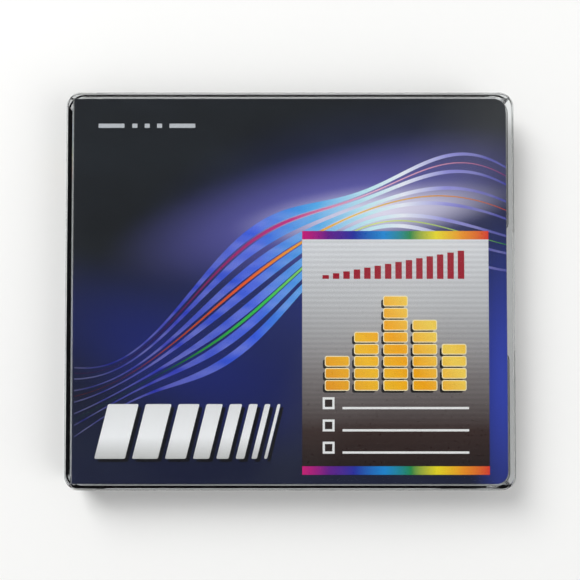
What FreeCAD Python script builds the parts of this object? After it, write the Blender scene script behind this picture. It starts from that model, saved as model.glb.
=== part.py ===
"""A minidisc cartridge in its clear slip case, in millimetres.

The case lies on its back with the printed side up. The origin is under the middle of the case, +X points
to the open mouth and +Y to the top of the print. The cartridge parts are drawn about the middle of the
cartridge's underside and then placed in the case.
"""
import FreeCAD, Part
import os
import re
import Sketcher

SIZES = {
    # disc, with a raised boss round the hole that seats the hub plate
    "disc_diameter": 64.0,
    "disc_thickness": 1.2,
    "disc_hole": 11.0,
    "boss_rise": 0.8,
    "boss_wall": 0.9,
    "boss_slope": 1.8,
    "plate_diameter": 16.4,
    "plate_thickness": 0.4,
    "plate_gap": 0.1,
    "plate_seat": 0.25,
    "dish_gap": 0.3,
    "dish_depth": 0.4,
    "dish_slope": 0.6,
    # cartridge shell
    "disc_play": 0.7,
    "rim_wall": 1.3,
    "side_margin": 3.3,
    "panel": 0.9,
    "outer_wall": 1.2,
    "ring_wall": 1.0,
    "ring_height": 0.35,
    "ring_width": 1.0,
    "ring_inset": 0.5,
    "disc_gap": 0.05,
    "headroom": 0.8,
    "cart_corner": 1.5,
    "cart_edge": 0.3,
    "hub_opening": 18.0,
    "corner_rib": 16.0,
    "pin_diameter": 1.6,
    "pin_length": 0.9,
    "pin_gap": 0.05,
    "pin_boss": 4.0,
    "pin_inset_across": 11.0,
    "pin_inset_along": 4.0,
    "align_diameter": 3.6,
    "align_slot": 4.6,
    "align_boss": 5.6,
    "align_skin": 0.3,
    "align_inset_across": 6.0,
    "align_inset_along": 6.5,
    "grip_depth": 1.1,
    "grip_length": 4.0,
    "grip_offset": 7.0,
    # sunk field and arrow on the upper face
    "field_depth": 0.12,
    "field_corner": 1.5,
    "field_margin": 9.0,
    "field_gap": 2.0,
    "field_top": 11.0,
    "field_bottom": 3.5,
    "arrow_depth": 0.15,
    "arrow_width": 3.6,
    "arrow_length": 3.0,
    "arrow_inset": 4.6,
    # sunk field along the rear edge
    "edge_field_depth": 0.12,
    "edge_field_length": 54.0,
    "edge_field_height": 3.2,
    # head window and shutter
    "window_start": 13.5,
    "window_margin": 0.5,
    "window_width": 16.5,
    "sheet_thickness": 0.25,
    "sheet_gap": 0.05,
    "fold_radius": 0.1,
    "leaf_lap": 1.1,
    "leaf_end_gap": 0.4,
    "leaf_corner": 0.8,
    "shutter_lap": 2.25,
    "shutter_end_gap": 0.5,
    "shutter_rear_gap": 0.3,
    "open_margin": 0.75,
    # side channel and the slider in it
    "channel_depth": 1.6,
    "channel_height": 1.8,
    "channel_end_gap": 1.5,
    "slider_gap": 0.1,
    "slider_tail": 10.0,
    "arm_length": 5.6,
    "arm_width": 0.5,
    "hook_length": 1.6,
    "hook_slope": 0.5,
    "peg_diameter": 1.2,
    "peg_gap": 0.05,
    "peg_spacing": 12.0,
    # write-protect tab and its pocket
    "tab_width": 3.7,
    "tab_length": 6.0,
    "tab_travel": 4.0,
    "tab_gap": 0.1,
    "tab_wall": 0.6,
    "tab_rear_wall": 3.0,
    "nub_length": 3.0,
    "nub_height": 1.0,
    "nub_inset": 0.1,
    "nub_groove": 0.4,
    "nub_groove_spacing": 1.2,
    "nub_groove_depth": 0.2,
    "sense_hole": 2.8,
    "sense_inset": 0.6,
    "type_spacing": 5.6,
    "type_depth": 0.5,
    # slip case
    "case_back_wall": 0.85,
    "case_front_wall": 0.85,
    "case_side_wall": 1.0,
    "case_end_wall": 1.0,
    "case_corner": 2.6,
    "case_edge": 0.4,
    "side_gap": 0.2,
    "slide_gap": 0.05,
    "mouth_recess": 2.2,
    "rail_height": 0.35,
    "rail_width": 1.2,
    "rail_spacing": 50.0,
    "rail_start": 0.5,
    "rail_end": 1.2,
    "stop_depth": 4.2,
    "stop_reach": 4.0,
    "stop_tip": 1.2,
    "stop_gap": 0.1,
    "stop_clearance": 0.05,
    "notch_radius": 11.0,
    "notch_corner": 1.5,
    "lead_in": 0.3,
    "lip_width": 1.3,
    # folded inlay card
    "card_thickness": 0.25,
    "card_clearance": 0.1,
    "card_play": 0.05,
    "card_side_play": 0.1,
    "card_flap": 15.0,
    "card_fold": 0.25,
    "card_corner": 2.0,
}

# How far a cut runs past the face that it opens, and how far a rib is rooted in its wall
PAST = "1"
ROOT = "0.2"

# Reference of a sketch's own origin, and the ends and middle of a line or an arc
ORIGIN = (-1, 1)
START, END, CENTRE = 1, 2, 3

TOLERANCE = 0.001

CHAMBER = "(disc_diameter / 2 + disc_play)"
CART_X = f"({CHAMBER} + side_margin)"
CART_Y = f"({CHAMBER} + rim_wall)"
CART_Z = "(2 * panel + ring_height + disc_gap + disc_thickness + boss_rise + headroom)"
MIDDLE = f"({CART_Z} / 2)"
DISC_Z = "(panel + ring_height + disc_gap)"
PLATE_Z = f"({DISC_Z} + disc_thickness + plate_seat)"

SUNK = "(sheet_thickness + 2 * sheet_gap)"
LEAF_TIP = "(window_start - leaf_lap)"
SHUTTER_Y = "(window_width / 2 + shutter_lap)"
TRAVEL = f"({SHUTTER_Y} + window_width / 2 + open_margin)"
WEB_OUTER = f"({CART_X} - sheet_gap)"
WEB_INNER = f"({WEB_OUTER} - sheet_thickness)"

CHANNEL_X = f"({CART_X} - channel_depth)"
SLIDER_INNER = f"({CHANNEL_X} + slider_gap)"
SLIDER_OUTER = f"({WEB_INNER} - slider_gap)"
SLIDER_FRONT = f"({SHUTTER_Y} - slider_gap)"

POCKET_OUTER = f"({CART_X} - tab_wall)"
POCKET_INNER = f"({POCKET_OUTER} - tab_width - 2 * tab_gap)"
POCKET_REAR = f"({CART_Y} - tab_rear_wall)"
POCKET_FRONT = f"({POCKET_REAR} - tab_length - tab_travel - 2 * tab_gap)"
TAB_REAR = f"({POCKET_REAR} - tab_gap)"
NUB_REAR = f"({TAB_REAR} - (tab_length - nub_length) / 2)"

CASE_X = f"((case_end_wall + stop_depth + 2 * {CART_X} + mouth_recess) / 2)"
CASE_Y = f"({CART_Y} + side_gap + case_side_wall)"
CART_MIDDLE = f"({CASE_X} - mouth_recess - {CART_X})"
CART_BASE = "(case_back_wall + rail_height + slide_gap)"
CARD_UNDER = f"({CART_BASE} + {CART_Z} + card_clearance)"
CARD_TOP = f"({CARD_UNDER} + card_thickness)"
CAVITY_TOP = f"({CARD_TOP} + card_play)"
CASE_Z = f"({CAVITY_TOP} + case_front_wall)"
CAVITY_LEFT = f"({CASE_X} - case_end_wall)"
CAVITY_SIDE = f"({CASE_Y} - case_side_wall)"
CARD_LEFT = f"({CAVITY_LEFT} - card_play)"

doc = FreeCAD.newDocument("minidisc_cartridge")


def add_sheet():
    """Put each size in a cell of its own, under its own name."""
    sheet = doc.addObject("Spreadsheet::Sheet", "sizes")
    for row, (name, size) in enumerate(SIZES.items(), 1):
        sheet.set(f"A{row}", name.replace("_", " "))
        sheet.set(f"B{row}", str(size))
        sheet.setAlias(f"B{row}", name)
    doc.recompute()
    return sheet


sheet = add_sheet()


def full(text):
    """The same sum with each size written as a reference to its cell."""
    return re.sub(r"[a-z]\w*", lambda word: f"sizes.{word[0]}" if word[0] in SIZES else word[0], text)


def value(text):
    """What a sum of sizes comes to."""
    return float(sheet.evalExpression(full(text)))


def new_body(label, across="0", along="0", height="0"):
    """An empty body whose placement follows the sizes."""
    body = doc.addObject("PartDesign::Body", label)
    body.Label = label
    for axis, text in (("x", across), ("y", along), ("z", height)):
        body.setExpression(f".Placement.Base.{axis}", full(text))
    return body


def cartridge_body(label, height="0"):
    """A body that is drawn about the middle of the cartridge."""
    return new_body(label, CART_MIDDLE, "0", f"{CART_BASE} + {height}")


def new_sketch(body, name, role, offset="0"):
    """A sketch on one of the body's origin planes, or at a distance from it."""
    sketch = body.newObject("Sketcher::SketchObject", name)
    plane = next(item for item in body.Origin.OriginFeatures if item.Role == role)
    sketch.AttachmentSupport = (plane, "")
    sketch.MapMode = "FlatFace"
    sketch.setExpression("AttachmentOffset.Base.z", full(offset))
    return sketch


def fix_point(sketch, piece, end, across, along):
    """Hold a point of a line or circle at two distances from the sketch's origin."""
    for kind, text in (("DistanceX", across), ("DistanceY", along)):
        constraint = Sketcher.Constraint(kind, *ORIGIN, piece, end, value(text))
        index = sketch.addConstraint(constraint)
        sketch.setExpression(f"Constraints[{index}]", full(text))


def fix_radius(sketch, piece, radius):
    """Hold the radius of a circle or an arc."""
    index = sketch.addConstraint(Sketcher.Constraint("Radius", piece, value(radius)))
    sketch.setExpression(f"Constraints[{index}]", full(radius))


def point(across, along):
    """A point of a sketch where two sums of sizes put it."""
    return FreeCAD.Vector(value(across), value(along), 0)


def add_line(sketch, first, last):
    """A line whose start is held; its end is joined or held by the caller."""
    line = sketch.addGeometry(Part.LineSegment(point(*first), point(*last)), False)
    fix_point(sketch, line, START, *first)
    return line


def polygon(sketch, corners):
    """A closed outline of straight lines."""
    following = corners[1:] + corners[:1]
    lines = [add_line(sketch, first, last) for first, last in zip(corners, following)]
    for line, after in zip(lines, lines[1:] + lines[:1]):
        sketch.addConstraint(Sketcher.Constraint("Coincident", line, END, after, START))


def circle(sketch, across, along, radius):
    """A circle about a held centre."""
    shape = Part.Circle(point(across, along), FreeCAD.Vector(0, 0, 1), value(radius))
    piece = sketch.addGeometry(shape, False)
    fix_point(sketch, piece, CENTRE, across, along)
    fix_radius(sketch, piece, radius)


def rectangle(sketch, left, right, low, high):
    """A rectangle between four distances from the origin."""
    polygon(sketch, [(left, low), (right, low), (right, high), (left, high)])


def slab(body, name, draw, bottom, top, cut=False):
    """Raise a flat drawing from one height to another, or cut it out of the body."""
    sketch = new_sketch(body, f"{name}_outline", "XY_Plane", bottom)
    draw(sketch)
    feature = body.newObject("PartDesign::Pocket" if cut else "PartDesign::Pad", name)
    feature.Profile = sketch
    feature.setExpression("Length", full(f"({top}) - ({bottom})"))
    feature.Reversed = cut
    return feature


def folded_sheet(body, name, section, width):
    """A folded strip: a closed section across X and Z, raised equally to both sides along Y."""
    sketch = new_sketch(body, f"{name}_section", "XZ_Plane")
    polygon(sketch, section)
    pad = body.newObject("PartDesign::Pad", name)
    pad.Profile = sketch
    pad.setExpression("Length", full(width))
    pad.SideType = "Symmetric"
    return pad


def revolve(body, name, corners):
    """Turn a half section about the upright axis."""
    sketch = new_sketch(body, f"{name}_section", "XZ_Plane")
    polygon(sketch, corners)
    turned = body.newObject("PartDesign::Revolution", name)
    turned.Profile = sketch
    turned.ReferenceAxis = (sketch, ["V_Axis"])
    turned.Angle = 360
    return turned


def dress(body, kind, name, size, wanted):
    """Add a fillet or a chamfer to the edges of the body's last feature that pass a test."""
    doc.recompute()
    base = body.Tip
    names = [f"Edge{index}" for index, edge in enumerate(base.Shape.Edges, 1) if wanted(edge)]
    feature = body.newObject(f"PartDesign::{kind}", name)
    feature.Base = (base, names)
    feature.setExpression("Radius" if kind == "Fillet" else "Size", full(size))
    return feature


def round_edges(body, name, radius, wanted):
    """Round the edges that pass a test."""
    return dress(body, "Fillet", name, radius, wanted)


def bevel_edges(body, name, size, wanted):
    """Bevel the edges that pass a test."""
    return dress(body, "Chamfer", name, size, wanted)


def is_near(one, other):
    """Whether two lengths are the same but for rounding."""
    return abs(one - other) < TOLERANCE


def runs_along(edge, axis):
    """Whether an edge is straight and runs along one axis: 0, 1 or 2 for X, Y or Z."""
    ends = [vertex.Point for vertex in edge.Vertexes]
    if len(ends) < 2:
        return False
    return all(is_near(ends[0][other], ends[1][other]) for other in range(3) if other != axis)


def lies_at(edge, axis, text):
    """Whether all of an edge lies at one distance along an axis."""
    box = edge.BoundBox
    low, high = ((box.XMin, box.XMax), (box.YMin, box.YMax), (box.ZMin, box.ZMax))[axis]
    return is_near(low, value(text)) and is_near(high, value(text))


def mirror(body, name, features, role):
    """Repeat features on the other side of an origin plane."""
    plane = next(item for item in body.Origin.OriginFeatures if item.Role == role)
    mirrored = body.newObject("PartDesign::Mirrored", name)
    mirrored.Originals = features
    mirrored.MirrorPlane = (plane, [""])
    body.Tip = mirrored
    return mirrored


def frames_mouth(edge):
    """Whether an edge lies on the inner side of a wall round the mouth."""
    return (lies_at(edge, 2, "case_back_wall") or lies_at(edge, 2, CARD_UNDER)
            or lies_at(edge, 1, CAVITY_SIDE) or lies_at(edge, 1, f"-{CAVITY_SIDE}"))


def slip_case():
    """The clear case: a flat box open at the mouth, with rails, stops, a lip and a thumb notch."""
    body = new_body("slip_case")
    slab(body, "block", lambda s: rectangle(s, f"-{CASE_X}", CASE_X, f"-{CASE_Y}", CASE_Y), "0", CASE_Z)
    round_edges(body, "plan_corners", "case_corner", lambda e: runs_along(e, 2))
    slab(body, "thumb_notch", lambda s: circle(s, CASE_X, "0", "notch_radius"),
         f"-{PAST}", "case_back_wall", cut=True)
    round_edges(body, "notch_corners", "notch_corner",
                lambda e: runs_along(e, 2) and is_near(e.Length, value("case_back_wall")))
    round_edges(body, "front_edges", "case_edge", lambda e: lies_at(e, 2, CASE_Z))
    bevel_edges(body, "back_edges", "case_edge", lambda e: lies_at(e, 2, "0"))

    lip_start = f"({CASE_X} - lip_width)"
    slab(body, "cavity",
         lambda s: rectangle(s, f"-{CAVITY_LEFT}", lip_start, f"-{CAVITY_SIDE}", CAVITY_SIDE),
         "case_back_wall", CAVITY_TOP, cut=True)
    slab(body, "mouth",
         lambda s: rectangle(s, "0", f"{CASE_X} + {PAST}", f"-{CAVITY_SIDE}", CAVITY_SIDE),
         "case_back_wall", CARD_UNDER, cut=True)
    bevel_edges(body, "mouth_lead_in", "lead_in", lambda e: lies_at(e, 0, CASE_X) and frames_mouth(e))

    rail_left = f"-{CARD_LEFT} + card_flap + rail_start"
    rail = slab(body, "guide_rail",
                lambda s: rectangle(s, rail_left, f"{CASE_X} - rail_end",
                                    "(rail_spacing - rail_width) / 2", "(rail_spacing + rail_width) / 2"),
                f"case_back_wall - {ROOT}", "case_back_wall + rail_height")
    stop_back = f"-{CARD_LEFT} + card_thickness + card_fold"
    stop_face = f"-{CAVITY_LEFT} + stop_depth - stop_gap"
    stop = slab(body, "end_stop",
                lambda s: polygon(s, [(stop_back, f"{CAVITY_SIDE} + {ROOT}"),
                                      (stop_back, f"{CAVITY_SIDE} - stop_tip"),
                                      (f"{stop_face} - stop_tip", f"{CAVITY_SIDE} - stop_reach"),
                                      (stop_face, f"{CAVITY_SIDE} - stop_reach"),
                                      (stop_face, f"{CAVITY_SIDE} + {ROOT}")]),
                "case_back_wall + rail_height", f"{CARD_UNDER} - stop_clearance")
    mirror(body, "other_side", [rail, stop], "XZ_Plane")
    return body


def inlay_card():
    """The printed card: a front panel, a narrow spine and a short flap on the back wall."""
    body = new_body("inlay_card")
    right = f"{CASE_X} - lip_width - card_play"
    flap_end = f"-{CARD_LEFT} + card_flap"
    outer_left = f"-{CARD_LEFT}"
    inner_left = f"-{CARD_LEFT} + card_thickness"
    flap_under = "case_back_wall + card_play"
    flap_top = "case_back_wall + card_play + card_thickness"
    half = f"({CAVITY_SIDE} - card_side_play)"
    section = [(outer_left, flap_under), (flap_end, flap_under), (flap_end, flap_top),
               (inner_left, flap_top), (inner_left, CARD_UNDER), (right, CARD_UNDER),
               (right, CARD_TOP), (outer_left, CARD_TOP)]
    folded_sheet(body, "folded_card", section, f"2 * {half}")
    round_edges(body, "inner_folds", "card_fold",
                lambda e: runs_along(e, 1) and lies_at(e, 0, inner_left))
    round_edges(body, "outer_folds", "card_fold + card_thickness",
                lambda e: runs_along(e, 1) and lies_at(e, 0, outer_left))
    round_edges(body, "free_corners", "card_corner",
                lambda e: runs_along(e, 2) and (lies_at(e, 0, right) or lies_at(e, 0, flap_end)))
    return body


def corner_pocket(sketch, side, end, wall, islands):
    """A hollow between the outer walls and the chamber ring, less the round bosses that stand in it."""
    ring = f"({CHAMBER} + ring_wall)"
    far = f"({CART_Y} - outer_wall)"
    near = "corner_rib"
    far_start = f"sqrt({ring}^2 - {far}^2)"
    near_start = f"sqrt({ring}^2 - {near}^2)"
    corners = [(far_start, far), (wall, far), (wall, near), (near_start, near)]
    placed = [(f"{side} * {across}", f"{end} * {along}") for across, along in corners]
    lines = [add_line(sketch, first, last) for first, last in zip(placed, placed[1:])]
    for line, after in zip(lines, lines[1:]):
        sketch.addConstraint(Sketcher.Constraint("Coincident", line, END, after, START))
    fix_point(sketch, lines[-1], END, *placed[-1])
    turn = value(f"{side} * {end}")
    middle = point(f"{side} * ({far_start} + {near_start})", f"{end} * ({far} + {near})")
    on_ring = middle.normalize() * value(ring)
    first, last = (placed[-1], placed[0]) if turn > 0 else (placed[0], placed[-1])
    arc = sketch.addGeometry(Part.Arc(point(*first), on_ring, point(*last)), False)
    at_far, at_near = (END, START) if turn > 0 else (START, END)
    sketch.addConstraint(Sketcher.Constraint("Coincident", arc, at_far, lines[0], START))
    sketch.addConstraint(Sketcher.Constraint("Coincident", arc, at_near, lines[-1], END))
    fix_radius(sketch, arc, ring)
    for across, along, diameter in islands:
        circle(sketch, f"{side} * {across}", f"{end} * {along}", f"{diameter} / 2")


def draw_hollows(sketch):
    """The round disc chamber and the four corner hollows, with their bosses left standing."""
    pin = (f"({CART_X} - pin_inset_across)", f"({CART_Y} - pin_inset_along)", "pin_boss")
    align = (f"({CART_X} - align_inset_across)", f"({CART_Y} - align_inset_along)", "align_boss")
    circle(sketch, "0", "0", CHAMBER)
    corner_pocket(sketch, "1", "1", f"({CHANNEL_X} - outer_wall)", [pin, align])
    corner_pocket(sketch, "(-1)", "1", f"({CART_X} - outer_wall)", [pin, align])
    corner_pocket(sketch, "1", "(-1)", f"({CHANNEL_X} - outer_wall)", [pin])
    corner_pocket(sketch, "(-1)", "(-1)", f"({POCKET_INNER} - ring_wall)", [pin])


def each_pin(sketch, radius):
    """A circle at each of the four places where the halves are pinned together."""
    across = f"({CART_X} - pin_inset_across)"
    along = f"({CART_Y} - pin_inset_along)"
    for side in ("", "-"):
        for end in ("", "-"):
            circle(sketch, f"{side}{across}", f"{end}{along}", radius)


def shell_half(label, lower):
    """What both halves of the cartridge share; depths are taken in from the half's own outer face."""
    body = cartridge_body(label)

    def layer(outer, inner):
        if lower:
            return outer, inner
        return f"{CART_Z} - ({inner})", f"{CART_Z} - ({outer})"

    def cut(name, draw, outer, inner):
        slab(body, name, draw, *layer(outer, inner), cut=True)

    outer_face = layer("0", "0")[0]
    rear = f"-({SHUTTER_Y} + {TRAVEL} + shutter_rear_gap)"
    front = f"{SHUTTER_Y} + shutter_end_gap"
    side = f"{CART_X} + {PAST}"
    slab(body, "block", lambda s: rectangle(s, f"-{CART_X}", CART_X, f"-{CART_Y}", CART_Y),
         *layer("0", MIDDLE))
    round_edges(body, "plan_corners", "cart_corner", lambda e: runs_along(e, 2))
    bevel_edges(body, "outer_edges", "cart_edge", lambda e: lies_at(e, 2, outer_face))
    cut("hollows", draw_hollows, "panel", MIDDLE)
    cut("side_recess", lambda s: rectangle(s, f"{CART_X} - {SUNK}", side, rear, front), f"-{PAST}", MIDDLE)
    cut("leaf_recess", lambda s: rectangle(s, f"{LEAF_TIP} - leaf_end_gap", side, rear, front),
        f"-{PAST}", SUNK)
    cut("channel",
        lambda s: rectangle(s, CHANNEL_X, side, f"-(slider_tail + {TRAVEL} + channel_end_gap)",
                            f"{CART_Y} + {PAST}"),
        f"{MIDDLE} - channel_height / 2", MIDDLE)
    cut("edge_field",
        lambda s: rectangle(s, "-edge_field_length / 2", "edge_field_length / 2",
                            f"-{CART_Y} - {PAST}", f"-{CART_Y} + edge_field_depth"),
        f"{MIDDLE} - edge_field_height / 2", MIDDLE)
    cut("tab_pocket",
        lambda s: rectangle(s, f"-{POCKET_OUTER}", f"-{POCKET_INNER}", f"-{POCKET_REAR}", f"-{POCKET_FRONT}"),
        "panel", MIDDLE)
    cut("tab_slot",
        lambda s: rectangle(s, f"-{CART_X} - {PAST}", f"-{POCKET_OUTER} + tab_gap", f"-{NUB_REAR} - tab_gap",
                            f"-{NUB_REAR} + nub_length + tab_travel + tab_gap"),
        f"{MIDDLE} - nub_height / 2 - tab_gap", MIDDLE)
    return body, layer


def draw_window(sketch):
    """The window that the shutter covers."""
    rectangle(sketch, "window_start", f"{CHAMBER} + window_margin", "-window_width / 2", "window_width / 2")


def upper_shell():
    """The upper half: a sunk label field, an arrow to the insertion end and the locating pins."""
    body, layer = shell_half("upper_shell", lower=False)
    slab(body, "window", draw_window, *layer(f"-{PAST}", "panel"), cut=True)
    field_right = f"{LEAF_TIP} - leaf_end_gap - field_gap"
    slab(body, "label_field",
         lambda s: rectangle(s, f"-{CART_X} + field_margin", field_right,
                             f"-{CART_Y} + field_bottom", f"{CART_Y} - field_top"),
         *layer(f"-{PAST}", "field_depth"), cut=True)
    round_edges(body, "field_corners", "field_corner",
                lambda e: runs_along(e, 2) and is_near(e.Length, value("field_depth")))
    arrow_middle = f"(-{CART_X} + arrow_inset)"
    arrow_tip = f"{CART_Y} - arrow_inset + arrow_length / 2"
    arrow_base = f"{CART_Y} - arrow_inset - arrow_length / 2"
    slab(body, "arrow",
         lambda s: polygon(s, [(f"{arrow_middle} - arrow_width / 2", arrow_base),
                               (f"{arrow_middle} + arrow_width / 2", arrow_base),
                               (arrow_middle, arrow_tip)]),
         *layer(f"-{PAST}", "arrow_depth"), cut=True)
    slab(body, "pins", lambda s: each_pin(s, "pin_diameter / 2"),
         f"{MIDDLE} - pin_length", f"{MIDDLE} + {ROOT}")
    return body


def lower_shell():
    """The lower half: hub opening, disc rings, pin sockets, alignment, sensing and loading recesses."""
    body, layer = shell_half("lower_shell", lower=True)
    floor = f"panel - {ROOT}"
    ring_top = "panel + ring_height"
    outer_ring = "(disc_diameter / 2 - ring_inset)"
    inner_ring = "(hub_opening / 2 + ring_width)"

    def draw_rings(sketch):
        circle(sketch, "0", "0", outer_ring)
        circle(sketch, "0", "0", f"{outer_ring} - ring_width")
        circle(sketch, "0", "0", inner_ring)
        circle(sketch, "0", "0", f"{inner_ring} - 2 * ring_width")

    slab(body, "disc_rings", draw_rings, floor, ring_top)
    slab(body, "window", draw_window, f"-{PAST}", DISC_Z, cut=True)
    slab(body, "hub_opening", lambda s: circle(s, "0", "0", "hub_opening / 2"), f"-{PAST}", DISC_Z, cut=True)
    slab(body, "pin_sockets", lambda s: each_pin(s, "pin_diameter / 2 + pin_gap"),
         f"{MIDDLE} - pin_length - pin_gap", MIDDLE, cut=True)

    align_x = f"({CART_X} - align_inset_across)"
    align_y = f"({CART_Y} - align_inset_along)"
    align_top = f"{MIDDLE} - align_skin"
    slab(body, "round_locator", lambda s: circle(s, f"-{align_x}", align_y, "align_diameter / 2"),
         f"-{PAST}", align_top, cut=True)
    slab(body, "long_locator",
         lambda s: rectangle(s, f"{align_x} - align_slot / 2", f"{align_x} + align_slot / 2",
                             f"{align_y} - align_diameter / 2", f"{align_y} + align_diameter / 2"),
         f"-{PAST}", align_top, cut=True)
    sense_x = f"(({POCKET_OUTER} + {POCKET_INNER}) / 2)"
    sense_rear = f"({TAB_REAR} - sense_inset)"
    slab(body, "sense_hole",
         lambda s: rectangle(s, f"-{sense_x} - sense_hole / 2", f"-{sense_x} + sense_hole / 2",
                             f"-{sense_rear}", f"-{sense_rear} + sense_hole"),
         f"-{PAST}", f"panel + {ROOT}", cut=True)
    type_x = f"({sense_x} - type_spacing)"
    slab(body, "type_recess",
         lambda s: rectangle(s, f"-{type_x} - sense_hole / 2", f"-{type_x} + sense_hole / 2",
                             f"-{sense_rear}", f"-{sense_rear} + sense_hole"),
         f"-{PAST}", "type_depth", cut=True)
    slab(body, "loading_grip",
         lambda s: rectangle(s, f"-{CART_X} - {PAST}", f"-{CART_X} + grip_depth",
                             "grip_offset - grip_length / 2", "grip_offset + grip_length / 2"),
         f"-{PAST}", f"{MIDDLE} + {PAST}", cut=True)
    return body


def disc():
    """The disc, with the boss round its hole that seats the hub plate."""
    body = cartridge_body("disc", DISC_Z)
    hole = "disc_hole / 2"
    rim = "disc_diameter / 2"
    recess = "(plate_diameter / 2 + plate_gap)"
    boss = f"{recess} + boss_wall"
    seat = "disc_thickness + plate_seat"
    boss_top = "disc_thickness + boss_rise"
    revolve(body, "turned_disc", [(hole, "0"), (rim, "0"), (rim, "disc_thickness"),
                                  (f"{boss} + boss_slope", "disc_thickness"), (boss, boss_top),
                                  (recess, boss_top), (recess, seat), (hole, seat)])
    return body


def hub_plate():
    """The steel plate on the disc's seat, dished into the hole."""
    body = cartridge_body("hub_plate", PLATE_Z)
    rim = "plate_diameter / 2"
    neck = "disc_hole / 2 - dish_gap"
    dish = f"{neck} - dish_slope"
    inner_neck = f"{neck} - dish_slope / 2"
    inner_dish = f"{dish} - dish_slope / 2"
    dish_top = "plate_thickness - dish_depth"
    revolve(body, "pressed_plate", [("0", "-dish_depth"), (dish, "-dish_depth"), (neck, "0"), (rim, "0"),
                                    (rim, "plate_thickness"), (inner_neck, "plate_thickness"),
                                    (inner_dish, dish_top), ("0", dish_top)])
    return body


def shutter():
    """The folded steel shutter, with two holes in its web for the slider's pegs."""
    body = cartridge_body("shutter")
    under = "sheet_gap"
    over = f"({CART_Z} - sheet_gap)"
    section = [(LEAF_TIP, under), (WEB_OUTER, under), (WEB_OUTER, over), (LEAF_TIP, over),
               (LEAF_TIP, f"{over} - sheet_thickness"), (WEB_INNER, f"{over} - sheet_thickness"),
               (WEB_INNER, f"{under} + sheet_thickness"), (LEAF_TIP, f"{under} + sheet_thickness")]
    folded_sheet(body, "folded_steel", section, f"2 * {SHUTTER_Y}")
    round_edges(body, "inner_folds", "fold_radius",
                lambda e: runs_along(e, 1) and lies_at(e, 0, WEB_INNER))
    round_edges(body, "outer_folds", "fold_radius + sheet_thickness",
                lambda e: runs_along(e, 1) and lies_at(e, 0, WEB_OUTER))
    round_edges(body, "leaf_corners", "leaf_corner", lambda e: runs_along(e, 2) and lies_at(e, 0, LEAF_TIP))
    holes = new_sketch(body, "peg_holes_outline", "YZ_Plane", CART_X)
    for side in ("", "-"):
        circle(holes, f"{side}peg_spacing / 2", MIDDLE, "peg_diameter / 2 + peg_gap")
    pocket = body.newObject("PartDesign::Pocket", "peg_holes")
    pocket.Profile = holes
    pocket.setExpression("Length", full(f"{SUNK} + {PAST}"))
    return body


def shutter_slider():
    """The slider in the side channel: two pegs into the shutter and a thin catch arm."""
    body = cartridge_body("shutter_slider")
    inner = SLIDER_INNER
    outer = SLIDER_OUTER
    arm = f"{SLIDER_INNER} + arm_width"
    tip = f"({SLIDER_FRONT} + arm_length)"
    hook = f"{SLIDER_OUTER} - slider_gap"
    half = "(channel_height / 2 - slider_gap)"
    outline = [(inner, "-slider_tail"), (outer, "-slider_tail"), (outer, SLIDER_FRONT),
               (arm, SLIDER_FRONT), (arm, f"{tip} - hook_length"),
               (hook, f"{tip} - hook_length + hook_slope"), (hook, f"{tip} - hook_slope"),
               (arm, tip), (inner, tip)]
    slab(body, "runner", lambda s: polygon(s, outline), f"{MIDDLE} - {half}", f"{MIDDLE} + {half}")
    pegs = new_sketch(body, "pegs_outline", "YZ_Plane", f"{SLIDER_OUTER} - {ROOT}")
    for side in ("", "-"):
        circle(pegs, f"{side}peg_spacing / 2", MIDDLE, "peg_diameter / 2")
    pad = body.newObject("PartDesign::Pad", "pegs")
    pad.Profile = pegs
    pad.setExpression("Length", full(f"{WEB_OUTER} - {SLIDER_OUTER} + {ROOT}"))
    return body


def write_protect_tab():
    """The sliding tab, with a grooved nub that shows in the side wall."""
    body = cartridge_body("write_protect_tab")
    outer = f"-{POCKET_OUTER} + tab_gap"
    inner = f"-{POCKET_INNER} - tab_gap"
    nub_side = f"-{CART_X} + nub_inset"
    nub_middle = f"(-{NUB_REAR} + nub_length / 2)"
    slab(body, "tab", lambda s: rectangle(s, outer, inner, f"-{TAB_REAR}", f"-{TAB_REAR} + tab_length"),
         "panel + tab_gap", f"{CART_Z} - panel - tab_gap")
    slab(body, "nub",
         lambda s: rectangle(s, nub_side, f"{outer} + {ROOT}", f"-{NUB_REAR}", f"-{NUB_REAR} + nub_length"),
         f"{MIDDLE} - nub_height / 2", f"{MIDDLE} + nub_height / 2")

    def draw_grooves(sketch):
        for side in ("", "-"):
            middle = f"({nub_middle} + {side}nub_groove_spacing / 2)"
            rectangle(sketch, f"{nub_side} - {PAST}", f"{nub_side} + nub_groove_depth",
                      f"{middle} - nub_groove / 2", f"{middle} + nub_groove / 2")

    slab(body, "nub_grooves", draw_grooves, f"{MIDDLE} - nub_height", f"{MIDDLE} + nub_height", cut=True)
    return body


def check(bodies):
    """Stop if any object failed, any cut took nothing away or any piece isn't one valid solid."""
    for item in doc.Objects:
        if {"Invalid", "Error"} & set(item.State):
            raise RuntimeError(f"{item.Name} failed: {item.State}")
        if item.TypeId == "PartDesign::Pocket":
            removed = item.BaseFeature.Shape.Volume - item.Shape.Volume
            if removed < TOLERANCE:
                raise RuntimeError(f"{item.Name} cuts nothing")
    for body in bodies:
        shape = body.Shape
        if shape.isNull() or not shape.isValid() or len(shape.Solids) != 1:
            raise RuntimeError(f"{body.Label} isn't one valid solid")


def export(bodies):
    """Write each piece to a file under its own label."""
    os.makedirs("parts", exist_ok=True)
    for body in bodies:
        body.Shape.exportStep(f"parts/{body.Label}.step")
        box = body.Shape.BoundBox
        print(f"{body.Label}: {body.Shape.Volume:.1f} mm3, X {box.XMin:.2f} to {box.XMax:.2f}, "
              f"Y {box.YMin:.2f} to {box.YMax:.2f}, Z {box.ZMin:.2f} to {box.ZMax:.2f}")


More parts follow.
